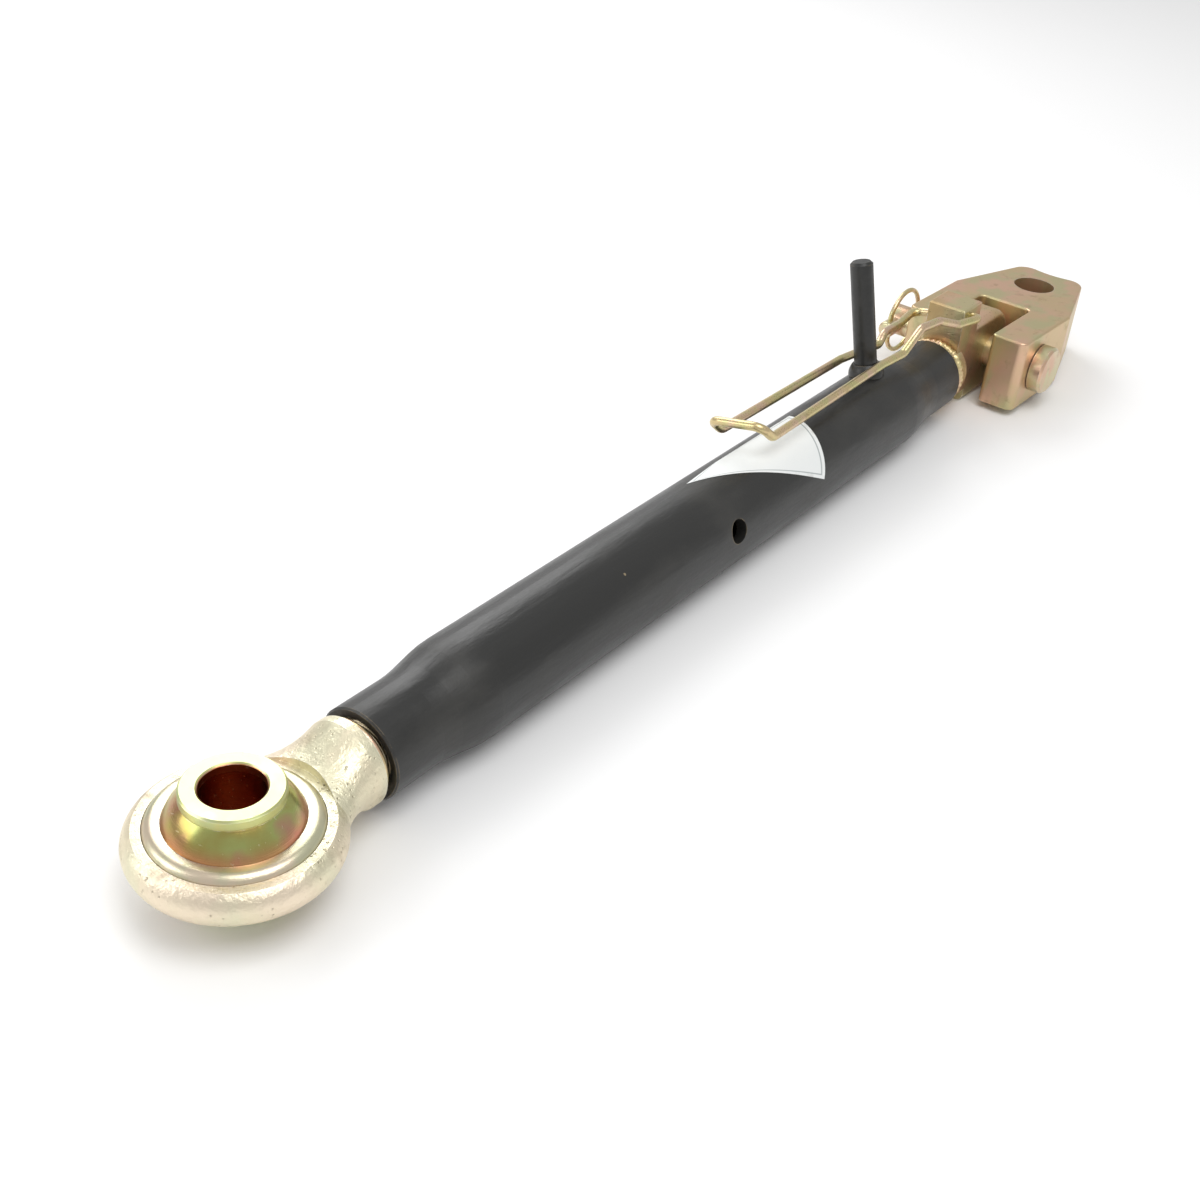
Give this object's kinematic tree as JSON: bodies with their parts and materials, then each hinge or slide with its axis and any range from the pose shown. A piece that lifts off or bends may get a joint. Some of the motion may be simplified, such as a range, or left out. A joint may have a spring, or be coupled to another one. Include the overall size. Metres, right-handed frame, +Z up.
{
  "type": "tractor top link",
  "caption": "Adjustable turnbuckle link with a swivel-ball eye at one end, a hinged clevis knuckle at the other, and a wire bail that locks the barrel by its handle.",
  "frame": {"origin": "centre of the swivel ball's bore", "axes": "+X along the barrel to the knuckle end, +Z up along the ball's bore"},
  "size_m": [0.7534, 0.1091, 0.1134],
  "materials": {
    "black_paint": "satin",
    "zinc_forging": "rough zinc plate",
    "zinc_steel": "zinc plate",
    "ball_plate": "yellow passivated"
  },
  "bodies": {
    "barrel": {"barrel_tube": "black_paint", "handle_bar": "black_paint", "handle_weld": "black_paint"},
    "screw_carrier": {"ball_end_weld": "zinc_forging"},
    "ball_end": {"eye_forging": "zinc_forging", "eye_screw": "zinc_steel", "ball_race": "zinc_steel"},
    "ball": {"swivel_ball": "ball_plate"},
    "knuckle": {"knuckle_screw": "zinc_steel", "knuckle_weld": "zinc_forging", "knuckle_block": "zinc_forging"},
    "head": {"knuckle_head": "zinc_forging"},
    "pin": {"hinge_pin": "zinc_steel", "linch_pin": "zinc_steel"},
    "ring": {"linch_ring": "zinc_steel"},
    "bail": {"lock_bail": "zinc_steel"}
  },
  "joints": [
    {"name": "ball_screw_slide", "type": "slide", "parent": "barrel", "child": "screw_carrier", "axis": [-1, 0, 0], "range_m": [0, 0.098]},
    {"name": "ball_end_turn", "type": "hinge", "parent": "screw_carrier", "child": "ball_end", "pos_m": [0, 0, 0], "axis": [-1, 0, 0], "range_deg": [0, 10080]},
    {"name": "ball_tilt", "type": "hinge", "parent": "ball_end", "child": "ball", "pos_m": [0, 0, 0], "axis": [0, 1, 0], "range_deg": [-20, 20]},
    {"name": "knuckle_screw_slide", "type": "slide", "parent": "barrel", "child": "knuckle", "axis": [1, 0, 0], "range_m": [0, 0.098]},
    {"name": "head_hinge", "type": "hinge", "parent": "knuckle", "child": "head", "pos_m": [0.6096, 0, 0], "axis": [0, -1, 0], "range_deg": [-85, 85]},
    {"name": "pin_turn", "type": "hinge", "parent": "head", "child": "pin", "pos_m": [0.6096, 0, 0], "axis": [0, 1, 0], "continuous": true},
    {"name": "ring_flip", "type": "hinge", "parent": "pin", "child": "ring", "pos_m": [0.5933, 0.05005, 0], "axis": [0, 0, 1], "range_deg": [0, 120]},
    {"name": "bail_swing", "type": "hinge", "parent": "knuckle", "child": "bail", "pos_m": [0.567, 0, 0.0337], "axis": [0, 0.9744, -0.225], "range_deg": [0, 100]}
  ],
  "couplings": [
    {"joint": "ball_screw_slide", "follows": "ball_end_turn", "m_per_rad": 0.00055704},
    {"joint": "knuckle_screw_slide", "follows": "ball_end_turn", "m_per_rad": 0.00055704}
  ]
}
